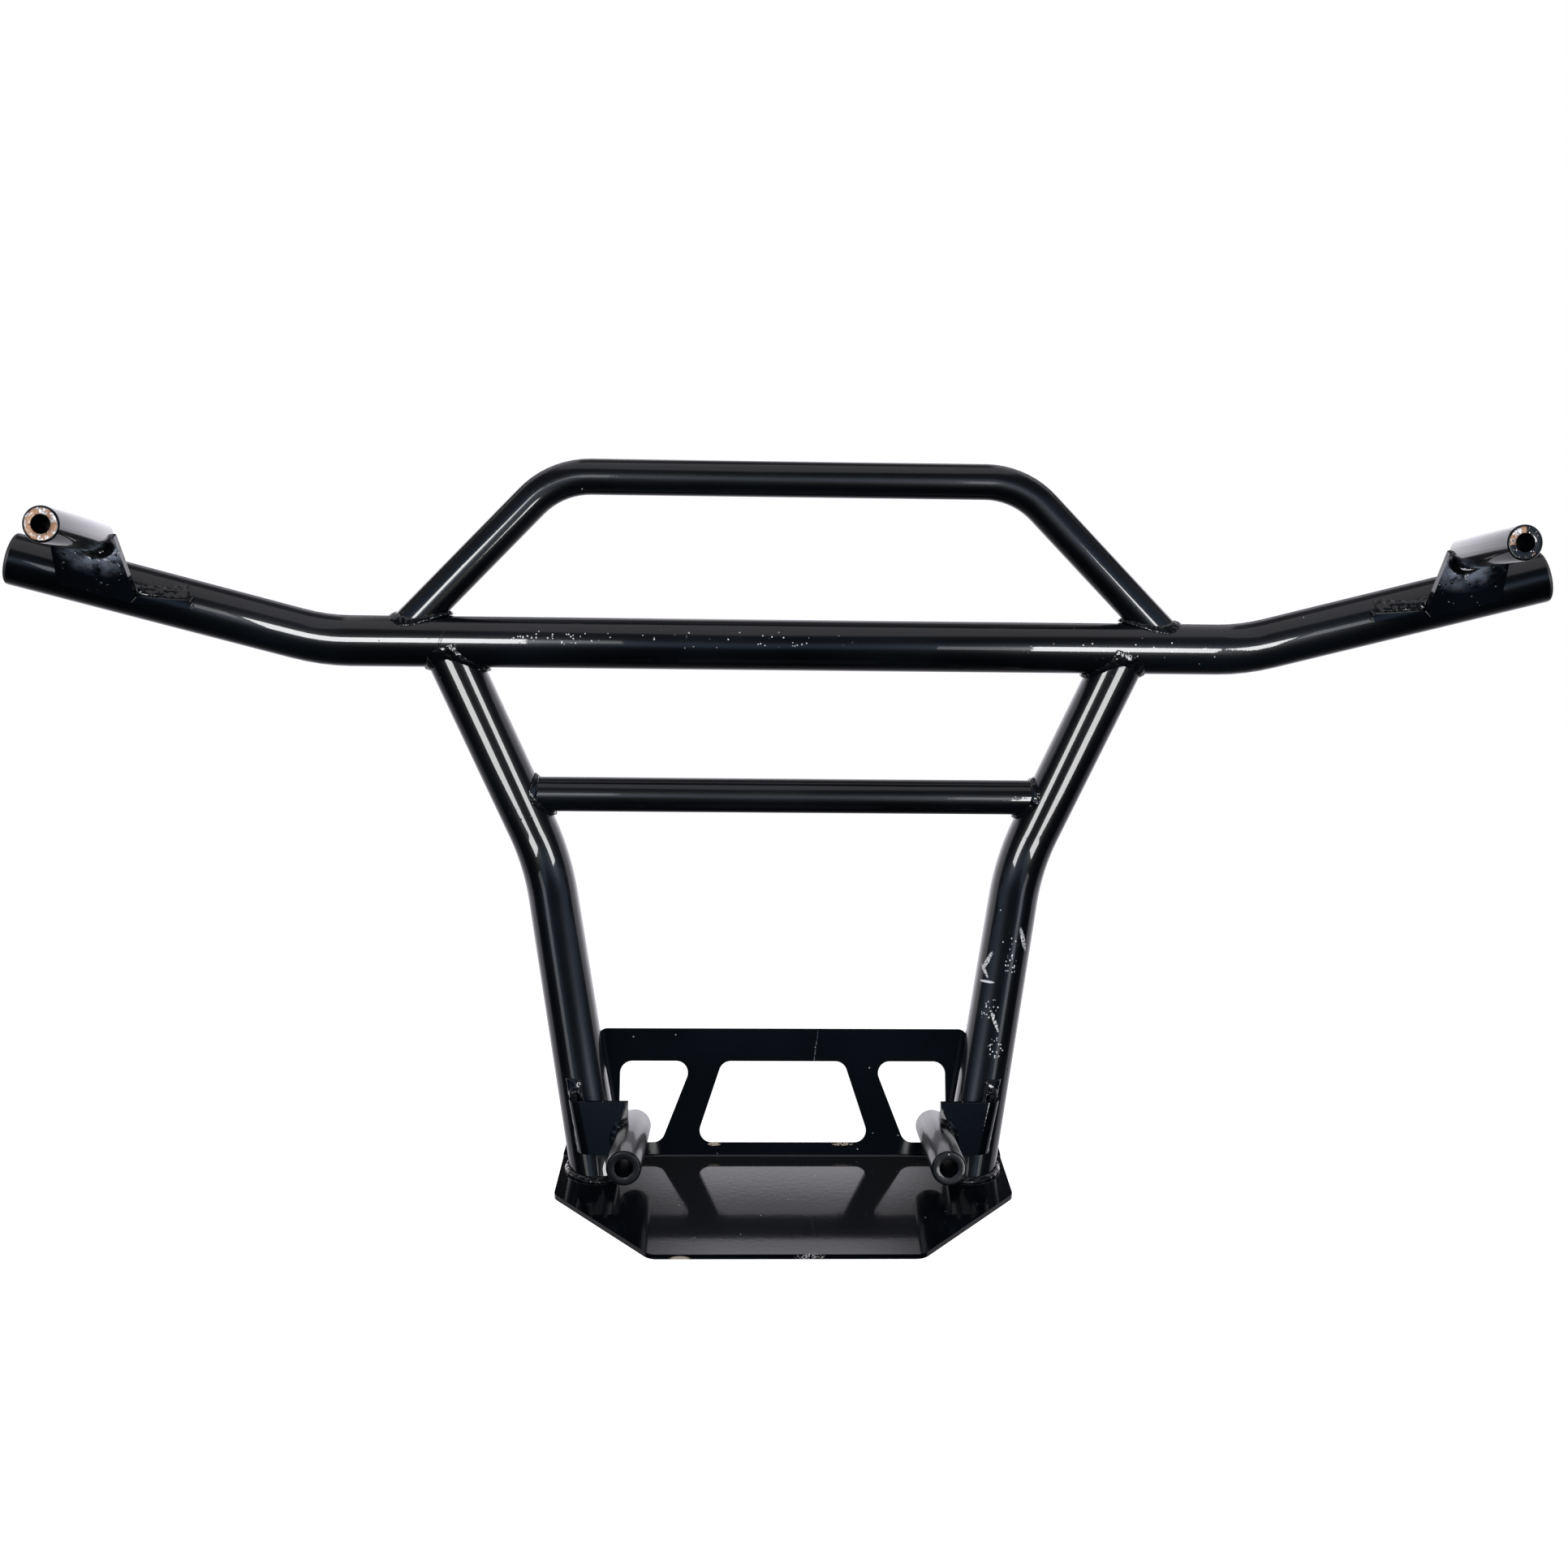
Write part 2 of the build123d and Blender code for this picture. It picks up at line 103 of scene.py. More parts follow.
steel_roughness = 0.3
stain_roughness = 0.2
stain_scale = 420.0
stain_range = (0.36, 0.52)
soot_scale = 800.0
soot_range = (0.6, 0.7)
soot_brown = (0.05, 0.04, 0.035)
scratch_scale = 900.0
scratch_height = 0.0003
bare_depths = (0.00055, 0.00035)
bare_insets = (0.0006, 0.001)
ragged_scale = 500.0
ragged_width = 0.001
bare_sides = {"left": None, "right": (-0.76, 0.0, 0.65)}
bare_side_range = (0.6, 0.66)
chip_scale = 700.0
chip_range = (0.6, 0.64)

# Plastic of the end plugs

plug_cloud_scale = 120.0
plug_grain_scale = 2500.0
plug_grain_height = 0.00003
plug_dark = 0.8
plug_pale = 1.5
plug_roughness = 0.35
plug_cloud_roughness = 0.2

# Weld beads: skin height, reach of the search for steel, and the make-up of the lumps

weld_skin = 0.00006
press_reach = 0.01
smoothing_rounds = 5
seed_steps = (3.1, 1.7, 0.9)
coarse_share = 0.9
fine_share = 0.3
fine_scale = 2.3
lump_sink = 0.2

# Spatter: numbers of drops, reach in metres, sizes as shares of a large drop

forwards = Vector((0.0, 1.0, 0.0))
bracket_facing = -0.5
joint_facing = -0.6
bracket_drops = 22
bracket_tries = 600
bracket_half_width = 0.026
bracket_depths = (0.004, 0.031)
bracket_drop_sizes = (0.35, 1.15)
joint_drops = (("hoop", 4), ("leg_top", 6), ("cross_bar", 5), ("lower_bracket", 5))
joint_tries = 200
joint_margin = 0.012
joint_drop_sizes = (0.25, 0.6)
joint_start_y = -0.05
drop_widths = (0.8, 1.3)
drop_height = 0.6

# Stripe lamps: name, place in metres, width, height and share of the stripe glow

leg_aim = (0.15, 0.107, 0.2)
leg_lamps = (
    ("low", (0.376, -0.95, -0.295), 0.48, 0.34, 1.0),
    ("across", (-0.64, -0.76, 0.166), 0.34, 0.5, 1.0),
    ("wide", (0.88, -0.9, 0.4), 0.3, 0.7, 0.1),
    ("narrow", (0.88, -0.9, 0.4), 0.12, 0.7, 0.17),
)
frame_aim_share = 0.3
frame_aim = (0.107, 0.25)
frame_lamps = (
    ("right_strip", (0.665, -1.96, -0.05), 0.35, 1.0, 1.3),
    ("right_spill", (0.42, -1.96, -0.05), 0.13, 0.5, 0.15),
    ("left_strip", (-0.615, -1.96, 0.3), 0.35, 0.8, 1.3),
    ("left_spill", (-0.35, -1.96, 0.3), 0.16, 0.5, 0.15),
)
gusset_names = ("upper_bracket_left", "upper_bracket_right")
not_by_frame_lamps = ("leg_tube_left", "leg_tube_right", "main_tube", "skid_plate", *gusset_names)
lip_place = (0.0, -0.7, -0.5)
lip_aim = (0.0, 0.1, 0.3)
lip_size = (1.6, 0.3)
lip_share = 1.25

# Main tube's stripe lamps: name, distance from the middle, lift, width, height and share of the glow

main_tube_y = 0.107
main_lamp_y = -0.16
main_lamp_heights = (("left", -1.0, 0.307), ("right", 1.0, 0.262))
main_lamps = (
    ("near_strip", 0.261, 0.0, 0.142, 0.088, 1.3),
    ("near_spill", 0.154, 0.0, 0.072, 0.06, 0.15),
    ("wing", 0.41, 0.03, 0.14, 0.06, 0.16),
)

# Soft lamps: name, the setting that holds the power, place, aim, width and height

soft_lamps = (
    ("fill_lamp", "fill_strength", (0.0, -2.2, 1.0), (0.0, 0.1, 0.2), 2.5, 1.5),
    ("ceiling_lamp", "ceiling_strength", (0.0, -1.1, 1.9), (0.0, -0.4, 0.0), 3.4, 1.7),
)

# Reflected levels by the height of a direction, from minus one straight down to one straight up

backdrop_levels = (
    (-1.0, 0.0), (-0.85, 0.04), (-0.6, 0.3), (-0.3, 0.8), (0.0, 1.6), (0.553, 1.75), (0.56, 1.6),
    (0.567, 0.5), (0.572, 0.12), (0.6, 1.5), (0.66, 1.3), (0.79, 0.6), (0.88, 0.14), (1.0, 0.14),
)
room_levels = (
    (-1.0, 0.0), (-0.55, 0.0), (-0.4, 0.03), (-0.28, 0.2), (-0.2, 0.3), (-0.05, 0.3), (0.08, 0.13),
    (0.2, 0.03), (0.5, 0.03), (0.6, 0.12), (0.67, 0.56), (1.0, 0.56),
)

# Where the reflected pattern's ramps start and end, along the axes of a direction

backdrop_rise = (0.3, 0.9)
dark_band_bottom = (0.5, 0.54)
dark_band_top = (0.7, 0.62)
bright_patch_x = 0.02
bright_patch_sides = (0.03, 0.13)
shoulder_rise = (0.6, 0.8)
shoulder_sides = (0.16, 0.22)
shoulder_level = 0.6
room_slope = 0.7
backdrop_edge = (0.0, 0.16)
cold_top = (0.58, 0.48)
cold_levels = (3.0, 1.0)
warm_tint = (1.0, 0.98, 1.06)
cold_tint = (0.72, 1.0, 1.5)
soft_level = 0.4

# Floor and camera

white = (1.0, 1.0, 1.0, 1.0)
floor_half_size = 30.0
floor_grey = (0.9, 0.9, 0.9, 1.0)
floor_glow = 0.8
bounce_grey = (0.12, 0.12, 0.12, 1.0)
sensor_width = 36.0
camera_shift = -0.0131


# Settings


class PaintSettings(bpy.types.PropertyGroup):
    colour: bpy.props.FloatVectorProperty(
        name="Paint colour",
        description="Gloss black with a trace of blue",
        subtype="COLOR",
        size=3,
        min=0.0,
        max=1.0,
        default=(0.0012, 0.0017, 0.0026),
    )
    base_roughness: bpy.props.FloatProperty(
        name="Base roughness",
        description="How soft the wide glow under the gloss is",
        subtype="FACTOR",
        min=0.0,
        max=1.0,
        default=0.3,
    )
    coat_roughness: bpy.props.FloatProperty(
        name="Gloss roughness",
        description="How soft the mirror-like top layer is",
        subtype="FACTOR",
        min=0.0,
        max=1.0,
        default=0.03,
    )
    peel_depth: bpy.props.FloatProperty(
        name="Orange peel",
        description="Depth of the ripple in the sprayed paint",
        subtype="DISTANCE",
        unit="LENGTH",
        min=0.0,
        default=0.000012,
    )
    dust_size: bpy.props.FloatProperty(
        name="Dust speck",
        description="Radius of the largest dust specks in the paint",
        subtype="DISTANCE",
        unit="LENGTH",
        min=0.0,
        default=0.0005,
    )


class MetalSettings(bpy.types.PropertyGroup):
    silver: bpy.props.FloatVectorProperty(
        name="Bare steel",
        description="Colour of the clean steel on the sleeve ends",
        subtype="COLOR",
        size=3,
        min=0.0,
        max=1.0,
        default=(0.72, 0.7, 0.7),
    )
    tan: bpy.props.FloatVectorProperty(
        name="Tarnished steel",
        description="Colour of the tarnished steel on the sleeve ends",
        subtype="COLOR",
        size=3,
        min=0.0,
        max=1.0,
        default=(0.5, 0.3, 0.19),
    )
    plug_colour: bpy.props.FloatVectorProperty(
        name="End plug",
        description="Colour of the plastic plugs in the wing ends",
        subtype="COLOR",
        size=3,
        min=0.0,
        max=1.0,
        default=(0.02, 0.02, 0.022),
    )
    edge_round: bpy.props.FloatProperty(
        name="Edge rounding",
        description="Radius on the cut edges of sheet and bar",
        subtype="DISTANCE",
        unit="LENGTH",
        min=0.0,
        default=0.0005,
    )


class WeldSettings(bpy.types.PropertyGroup):
    grain: bpy.props.FloatProperty(
        name="Mesh size",
        description="Mesh size of the weld beads",
        subtype="DISTANCE",
        unit="LENGTH",
        min=0.0002,
        default=0.0006,
    )
    lump: bpy.props.FloatProperty(
        name="Lump length",
        description="Length of one lump along a bead",
        subtype="DISTANCE",
        unit="LENGTH",
        min=0.0005,
        default=0.0032,
    )
    height: bpy.props.FloatProperty(
        name="Lump height",
        description="How far the lumps stand out",
        subtype="DISTANCE",
        unit="LENGTH",
        min=0.0,
        default=0.0005,
    )
    lie: bpy.props.FloatProperty(
        name="Lie",
        description="Height of a bead above the steel as a share of its plain collar's",
        subtype="FACTOR",
        min=0.1,
        max=1.0,
        default=0.6,
    )
    spatter_radius: bpy.props.FloatProperty(
        name="Spatter drop",
        description="Radius of a large spatter drop",
        subtype="DISTANCE",
        unit="LENGTH",
        min=0.0001,
        default=0.0011,
    )


class StageSettings(bpy.types.PropertyGroup):
    floor_z: bpy.props.FloatProperty(
        name="Floor height",
        description="Height of the pale floor",
        subtype="DISTANCE",
        unit="LENGTH",
        default=-0.6,
    )
    strip_glow: bpy.props.FloatProperty(
        name="Stripe lamps",
        description="Watts for each square metre of the lamps that draw the stripes on the tubes",
        min=0.0,
        default=36.0,
    )
    ceiling_strength: bpy.props.FloatProperty(
        name="Ceiling lamp",
        description="Power of the wide soft lamp overhead",
        subtype="POWER",
        unit="POWER",
        min=0.0,
        default=7.0,
    )
    fill_strength: bpy.props.FloatProperty(
        name="Fill lamp",
        description="Power of the wide soft lamp above the camera",
        subtype="POWER",
        unit="POWER",
        min=0.0,
        default=38.0,
    )
    camera_place: bpy.props.FloatVectorProperty(
        name="Camera",
        description="Where the camera stands",
        subtype="TRANSLATION",
        unit="LENGTH",
        size=3,
        default=(-0.0222, -0.9333, 0.2762),
    )
    camera_yaw: bpy.props.FloatProperty(
        name="Yaw",
        description="How far the camera turns to the right",
        subtype="ANGLE",
        unit="ROTATION",
        default=math.radians(1.85),
    )
    camera_pitch: bpy.props.FloatProperty(
        name="Pitch",
        description="How far the camera looks down",
        subtype="ANGLE",
        unit="ROTATION",
        default=math.radians(3.58),
    )
    camera_roll: bpy.props.FloatProperty(
        name="Roll",
        description="How far the camera leans",
        subtype="ANGLE",
        unit="ROTATION",
        default=math.radians(0.56),
    )
    camera_lens: bpy.props.FloatProperty(
        name="Lens",
        description="Focal length in millimetres on a 36 mm sensor",
        unit="CAMERA",
        min=1.0,
        default=38.57,
    )


# Material helpers


def new_material(name):
    material = bpy.data.materials.new(name)
    material.use_nodes = True
    tree = material.node_tree
    tree.nodes.clear()
    output = tree.nodes.new("ShaderNodeOutputMaterial")
    shader = tree.nodes.new("ShaderNodeBsdfPrincipled")
    tree.links.new(shader.outputs["BSDF"], output.inputs["Surface"])
    return material, tree, shader


def noise_node(tree, coordinates, scale, detail=2.0):
    node = tree.nodes.new("ShaderNodeTexNoise")
    node.inputs["Scale"].default_value = scale
    node.inputs["Detail"].default_value = detail
    tree.links.new(coordinates, node.inputs["Vector"])
    return node.outputs["Fac"]


def ramp(tree, value, start, end):
    """Nought at start, one at end."""
    node = tree.nodes.new("ShaderNodeMapRange")
    node.inputs["From Min"].default_value = start
    node.inputs["From Max"].default_value = end
    node.interpolation_type = "SMOOTHSTEP"
    tree.links.new(value, node.inputs["Value"])
    return node.outputs["Result"]


def maths(tree, operation, first, second=0.0):
    node = tree.nodes.new("ShaderNodeMath")
    node.operation = operation
    for socket, value in zip(node.inputs, (first, second)):
        if isinstance(value, (int, float)):
            socket.default_value = value
        else:
            tree.links.new(value, socket)
    return node.outputs[0]


def mix_colour(tree, factor, first, second):
    node = tree.nodes.new("ShaderNodeMix")
    node.data_type = "RGBA"
    tree.links.new(factor, node.inputs["Factor"])
    for socket, value in ((node.inputs[6], first), (node.inputs[7], second)):
        if isinstance(value, (tuple, list)):
            socket.default_value = (*value, 1.0)
        else:
            tree.links.new(value, socket)
    return node.outputs[2]


def bump(tree, height, distance, before=None):
    node = tree.nodes.new("ShaderNodeBump")
    node.inputs["Strength"].default_value = 1.0
    node.inputs["Distance"].default_value = distance
    tree.links.new(height, node.inputs["Height"])
    if before is not None:
        tree.links.new(before, node.inputs["Normal"])
    return node.outputs["Normal"]


def object_coordinates(tree):
    return tree.nodes.new("ShaderNodeTexCoord").outputs["Object"]


def dust_mask(tree, coordinates, spacing, radius, share):
    """One at sparse round specks: their spacing, their radius and the share of cells that hold one."""
    cells = tree.nodes.new("ShaderNodeTexVoronoi")
    cells.inputs["Scale"].default_value = 1.0 / spacing
    tree.links.new(coordinates, cells.inputs["Vector"])
    inside = maths(tree, "LESS_THAN", cells.outputs["Distance"], radius / spacing)
    parts = tree.nodes.new("ShaderNodeSeparateColor")
    tree.links.new(cells.outputs["Color"], parts.inputs["Color"])
    chosen = maths(tree, "LESS_THAN", parts.outputs["Red"], share)
    return maths(tree, "MULTIPLY", inside, chosen)


def length_of(tree, vector):
    node = tree.nodes.new("ShaderNodeVectorMath")
    node.operation = "LENGTH"
    tree.links.new(vector, node.inputs[0])
    return node.outputs["Value"]


def mix_shaders(tree, factor, first, second):
    """The first shader at nought, the second at one."""
    node = tree.nodes.new("ShaderNodeMixShader")
    tree.links.new(factor, node.inputs["Fac"])
    tree.links.new(first, node.inputs[1])
    tree.links.new(second, node.inputs[2])
    return node.outputs["Shader"]


def soft_egg(tree, place, centre, reach, turn, core):
    """One inside an egg of the given centre, half sizes and turn about Y, fading from core to edge."""
    local = tree.nodes.new("ShaderNodeMapping")
    local.vector_type = "TEXTURE"
    local.inputs["Location"].default_value = centre
    local.inputs["Rotation"].default_value = (0.0, math.radians(turn), 0.0)
    local.inputs["Scale"].default_value = reach
    tree.links.new(place, local.inputs["Vector"])
    return ramp(tree, length_of(tree, local.outputs["Vector"]), 1.0, core)


def scuff_and_highlight_mask(tree, place, centre, reach, turn, scale, share):
    """One at the grains of a dense scuff or painted edge highlight, or the specks of a sparse scuff, inside
    an egg.
    """
    inside = soft_egg(tree, place, centre, reach, turn, scuff_and_highlight_core)
    if share >= dense_share:
        ends = [end - share * scuff_and_highlight_widening for end in scuff_and_highlight_range]
        grains = ramp(tree, noise_node(tree, place, scale, 3.0), *ends)
    else:
        grains = dust_mask(tree, place, speck_spacing, speck_radius, share * 2.0)
    return maths(tree, "MULTIPLY", inside, grains)


def gloss_paint(
    name, settings, peel=1.0, skin=0.0, satin=0.0, dust_share=0.14,
    scuffs_and_highlights=(), painted_sheen=None, gloss=1.0, glow=0.2,
):
    """Sprayed gloss black: a dark base, a mirror coat, orange peel, dust, a painted bluish sheen, scuffs
    and a painted edge highlight.
    """
    material, tree, shader = new_material(name)
    place = object_coordinates(tree)
    marks = dust_mask(tree, place, dust_spacing, settings.dust_size, dust_share)
    cloud = ramp(tree, noise_node(tree, place, cloud_scale, 3.0), *cloud_range)
    lift = 1.0 + satin * satin_lift
    dark = [c * dark_shade * lift for c in settings.colour]
    pale = [c * pale_shade * lift for c in settings.colour]
    coloured = mix_colour(tree, cloud, dark, pale)
    # A bluish patch, broken by grain, that paints the sheen of the face below the sleeve.
    if painted_sheen is not None:
        centre, reach, tint = painted_sheen
        sheen_patch = soft_egg(tree, place, centre, reach, 0.0, sheen_patch_core)
        grains = ramp(tree, noise_node(tree, place, sheen_patch_grain_scale, 4.0), *sheen_patch_grain_range)
        sheen_patch = maths(tree, "MULTIPLY", sheen_patch, grains)
        coloured = mix_colour(tree, sheen_patch, coloured, tint)
    coloured = mix_colour(tree, marks, coloured, dust_grey)
    # Scuffs, and on the plate a painted edge highlight.
    for centre, reach, turn, scale, share, tint in scuffs_and_highlights:
        mask = scuff_and_highlight_mask(tree, place, centre, reach, turn, scale, share)
        coloured = mix_colour(tree, mask, coloured, tint)
        marks = maths(tree, "MAXIMUM", marks, mask)
    tree.links.new(coloured, shader.inputs["Base Color"])
    rough = maths(tree, "MULTIPLY", cloud, cloud_roughness)
    rough = maths(tree, "ADD", rough, settings.base_roughness + satin)
    rough = maths(tree, "ADD", rough, maths(tree, "MULTIPLY", marks, mark_roughness))
    tree.links.new(rough, shader.inputs["Roughness"])
    shader.inputs["Specular IOR Level"].default_value = glow
    shader.inputs["Coat Weight"].default_value = gloss
    shader.inputs["Coat Roughness"].default_value = settings.coat_roughness + satin * satin_coat
    shader.inputs["Coat IOR"].default_value = coat_ior
    ripple = noise_node(tree, place, ripple_scale, 2.0)
    normal = bump(tree, ripple, settings.peel_depth * peel)
    normal = bump(tree, marks, dust_height, normal)
    # Bumps for drops inside the painted sheen patch.
    if painted_sheen is not None:
        drops = maths(tree, "MULTIPLY", sheen_patch, noise_node(tree, place, sheen_patch_drop_scale, 3.0))
        normal = bump(tree, drops, sheen_patch_drop_height, normal)
    if skin > 0.0:
        rough_skin = noise_node(tree, place, skin_scale, 3.0)
        normal = bump(tree, rough_skin, skin, normal)
    tree.links.new(normal, shader.inputs["Coat Normal"])
    return material


def bare_steel(tree, place, metal):
    """A shader of mottled steel with tarnish, soot and scratches."""
    shader = tree.nodes.new("ShaderNodeBsdfPrincipled")
    shader.inputs["Metallic"].default_value = 1.0
    stain = ramp(tree, noise_node(tree, place, stain_scale, 4.0), *stain_range)
    soot = ramp(tree, noise_node(tree, place, soot_scale, 3.0), *soot_range)
    colour = mix_colour(tree, stain, list(metal.silver), list(metal.tan))
    colour = mix_colour(tree, soot, colour, soot_brown)
    tree.links.new(colour, shader.inputs["Base Color"])
    rough = maths(tree, "ADD", maths(tree, "MULTIPLY", stain, stain_roughness), steel_roughness)
    tree.links.new(rough, shader.inputs["Roughness"])
    scratches = noise_node(tree, place, scratch_scale, 5.0)
    tree.links.new(bump(tree, scratches, scratch_height), shader.inputs["Normal"])
    return shader.outputs["BSDF"]


def bare_end(tree, place, middle, radius, rear_y, bare_side):
    """One on the rear end face, out to a ragged ring, all round or on one side alone."""
    split = tree.nodes.new("ShaderNodeSeparateXYZ")
    tree.links.new(place, split.inputs["Vector"])
    near_end = [rear_y + depth for depth in bare_depths]
    on_face = ramp(tree, split.outputs["Y"], *near_end)
    ring = tree.nodes.new("ShaderNodeMapping")
    ring.vector_type = "POINT"
    ring.inputs["Location"].default_value = (-middle.x, 0.0, -middle.z)
    ring.inputs["Scale"].default_value = (1.0, 0.0, 1.0)
    tree.links.new(place, ring.inputs["Vector"])
    reach = length_of(tree, ring.outputs["Vector"])
    ragged = maths(tree, "MULTIPLY", noise_node(tree, place, ragged_scale), ragged_width)
    ragged = maths(tree, "ADD", reach, ragged)
    near_rim = [radius - inset for inset in bare_insets]
    on_face = maths(tree, "MULTIPLY", on_face, ramp(tree, ragged, *near_rim))
    if bare_side is None:
        return on_face
    turned = tree.nodes.new("ShaderNodeVectorMath")
    turned.operation = "DOT_PRODUCT"
    tree.links.new(ring.outputs["Vector"], turned.inputs[0])
    turned.inputs[1].default_value = bare_side
    shown = maths(tree, "DIVIDE", turned.outputs["Value"], reach)
    shown = ramp(tree, shown, *bare_side_range)
    chips = ramp(tree, noise_node(tree, place, chip_scale, 4.0), *chip_range)
    return maths(tree, "MULTIPLY", on_face, maths(tree, "MAXIMUM", shown, chips))


def sleeve_material(name, paint, metal, middle, radius, rear_y, bare_side):
    """The paint, with mottled bare steel on the rear end."""
    material = gloss_paint(name, paint)
    tree = material.node_tree
    painted = next(n for n in tree.nodes if n.type == "BSDF_PRINCIPLED")
    output = next(n for n in tree.nodes if n.type == "OUTPUT_MATERIAL")
    place = object_coordinates(tree)
    steel = bare_steel(tree, place, metal)
    on_face = bare_end(tree, place, middle, radius, rear_y, bare_side)
    both = mix_shaders(tree, on_face, painted.outputs["BSDF"], steel)
    tree.links.new(both, output.inputs["Surface"])
    return material


def plug_material(metal):
    """Black moulded plastic with a fine grain."""
    material, tree, shader = new_material("moulded_plug")
    place = object_coordinates(tree)
    cloud = noise_node(tree, place, plug_cloud_scale, 3.0)
    dark = [c * plug_dark for c in metal.plug_colour]
    pale = [c * plug_pale for c in metal.plug_colour]
    tree.links.new(mix_colour(tree, cloud, dark, pale), shader.inputs["Base Color"])
    rough = maths(tree, "ADD", maths(tree, "MULTIPLY", cloud, plug_cloud_roughness), plug_roughness)
    tree.links.new(rough, shader.inputs["Roughness"])
    grain = noise_node(tree, place, plug_grain_scale, 2.0)
    tree.links.new(bump(tree, grain, plug_grain_height), shader.inputs["Normal"])
    return material


# Piece helpers


def dress(node, material):
    """Puts one material on a CAD node."""
    node.data.materials.clear()
    node.data.materials.append(material)


def soften_edges(node, width, flat=True):
    """Merges a CAD node's loose triangles, rounds its sharp edges and shades it smooth."""
    for face in node.data.polygons:
        face.use_smooth = True
    weld = node.modifiers.new("merge", "WELD")
    weld.merge_threshold = merge_distance
    if width == 0.0:
        split = node.modifiers.new("split", "EDGE_SPLIT")
        split.split_angle = split_angle
        return
    rounding = node.modifiers.new("rounding", "BEVEL")
    rounding.width = width
    rounding.segments = rounding_steps
    rounding.limit_method = "ANGLE"
    rounding.angle_limit = sharp_angle
    rounding.use_clamp_overlap = True
    if flat:
        level = node.modifiers.new("level", "WEIGHTED_NORMAL")
        level.mode = "FACE_AREA"
        level.weight = flat_weight
    else:
        rounding.harden_normals = True


def add_piece(name, mesh_builder, material):
    """A new piece that rides on the one body."""
    mesh = bpy.data.meshes.new(name)
    mesh_builder.to_mesh(mesh)
    mesh_builder.free()
    for face in mesh.polygons:
        face.use_smooth = True
    mesh.materials.append(material)
    piece = bpy.data.objects.new(name, mesh)
    bpy.context.scene.collection.objects.link(piece)
    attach(piece, "root")
    return piece


def surface_of(node):
    """A search tree of a CAD node's surface."""
    builder = bmesh.new()
    builder.from_mesh(node.data)
    bmesh.ops.remove_doubles(builder, verts=builder.verts, dist=merge_distance)
    tree = BVHTree.FromBMesh(builder)
    builder.free()
    return tree


# Scuffs, and on the plate one painted edge highlight: centre and half sizes in metres, turn in degrees,
# grain scale, share bared, colour

scratch_white = (0.42, 0.43, 0.45)
primer_tan = (0.42, 0.36, 0.29)
main_tube_scuffs = (
    ((-0.1625, 0.0913, 0.3), (0.008, 0.006, 0.004), 0.0, 1500.0, 0.28, scratch_white),
    ((-0.138, 0.0913, 0.3), (0.03, 0.006, 0.005), 0.0, 1900.0, 0.1, scratch_white),
    ((-0.045, 0.0913, 0.3), (0.1, 0.006, 0.006), 0.0, 1700.0, 0.03, scratch_white),
    ((0.2, 0.0913, 0.297), (0.07, 0.006, 0.007), 0.0, 1700.0, 0.03, scratch_white),
    ((-0.2098, 0.0911, 0.298), (0.0009, 0.006, 0.0065), 20.0, 900.0, 0.9, (0.0005, 0.0006, 0.0008)),
)
right_leg_scuffs = (
    ((0.1279, 0.1113, 0.1), (0.0012, 0.006, 0.0075), 28.0, 1100.0, 0.75, scratch_white),
    ((0.1262, 0.1113, 0.094), (0.001, 0.006, 0.0065), -22.0, 1300.0, 0.7, scratch_white),
    ((0.1268, 0.108, 0.0877), (0.0062, 0.006, 0.0009), 2.0, 500.0, 1.6, scratch_white),
    ((0.1505, 0.114, 0.1135), (0.0016, 0.006, 0.0085), -12.0, 1500.0, 0.55, scratch_white),
    ((0.1425, 0.1114, 0.1125), (0.0062, 0.006, 0.0062), 0.0, 1700.0, 0.18, scratch_white),
    ((0.142, 0.108, 0.098), (0.0042, 0.006, 0.0085), 8.0, 1700.0, 0.22, scratch_white),
    ((0.1285, 0.1, 0.071), (0.0062, 0.006, 0.008), 30.0, 1500.0, 0.25, scratch_white),
    ((0.1312, 0.098, 0.064), (0.0011, 0.006, 0.008), -18.0, 900.0, 0.6, scratch_white),
    ((0.132, 0.094, 0.048), (0.006, 0.006, 0.008), 0.0, 1300.0, 0.25, scratch_white),
)
plate_scuffs_and_edge_highlight = (
    ((-0.0593, -0.0187, -0.0458), (0.0075, 0.0016, 0.0022), 0.0, 420.0, 1.2, primer_tan),
    ((0.013, -0.0187, -0.0445), (0.0095, 0.003, 0.0022), 0.0, 1300.0, 0.3, scratch_white),
    ((-0.0432, 0.1095, -0.0165), (0.0045, 0.004, 0.0012), 0.0, 900.0, 0.8, primer_tan),
    ((0.0376, 0.1095, -0.0165), (0.0075, 0.004, 0.001), 0.0, 900.0, 0.55, primer_tan),
    # A thin grey streak up the plate's upright, turned 8 degrees: a painted edge highlight.
    ((0.021, 0.123, 0.043), (0.0005, 0.008, 0.014), 8.0, 500.0, 0.5, (0.1, 0.11, 0.12)),
)


# Operators


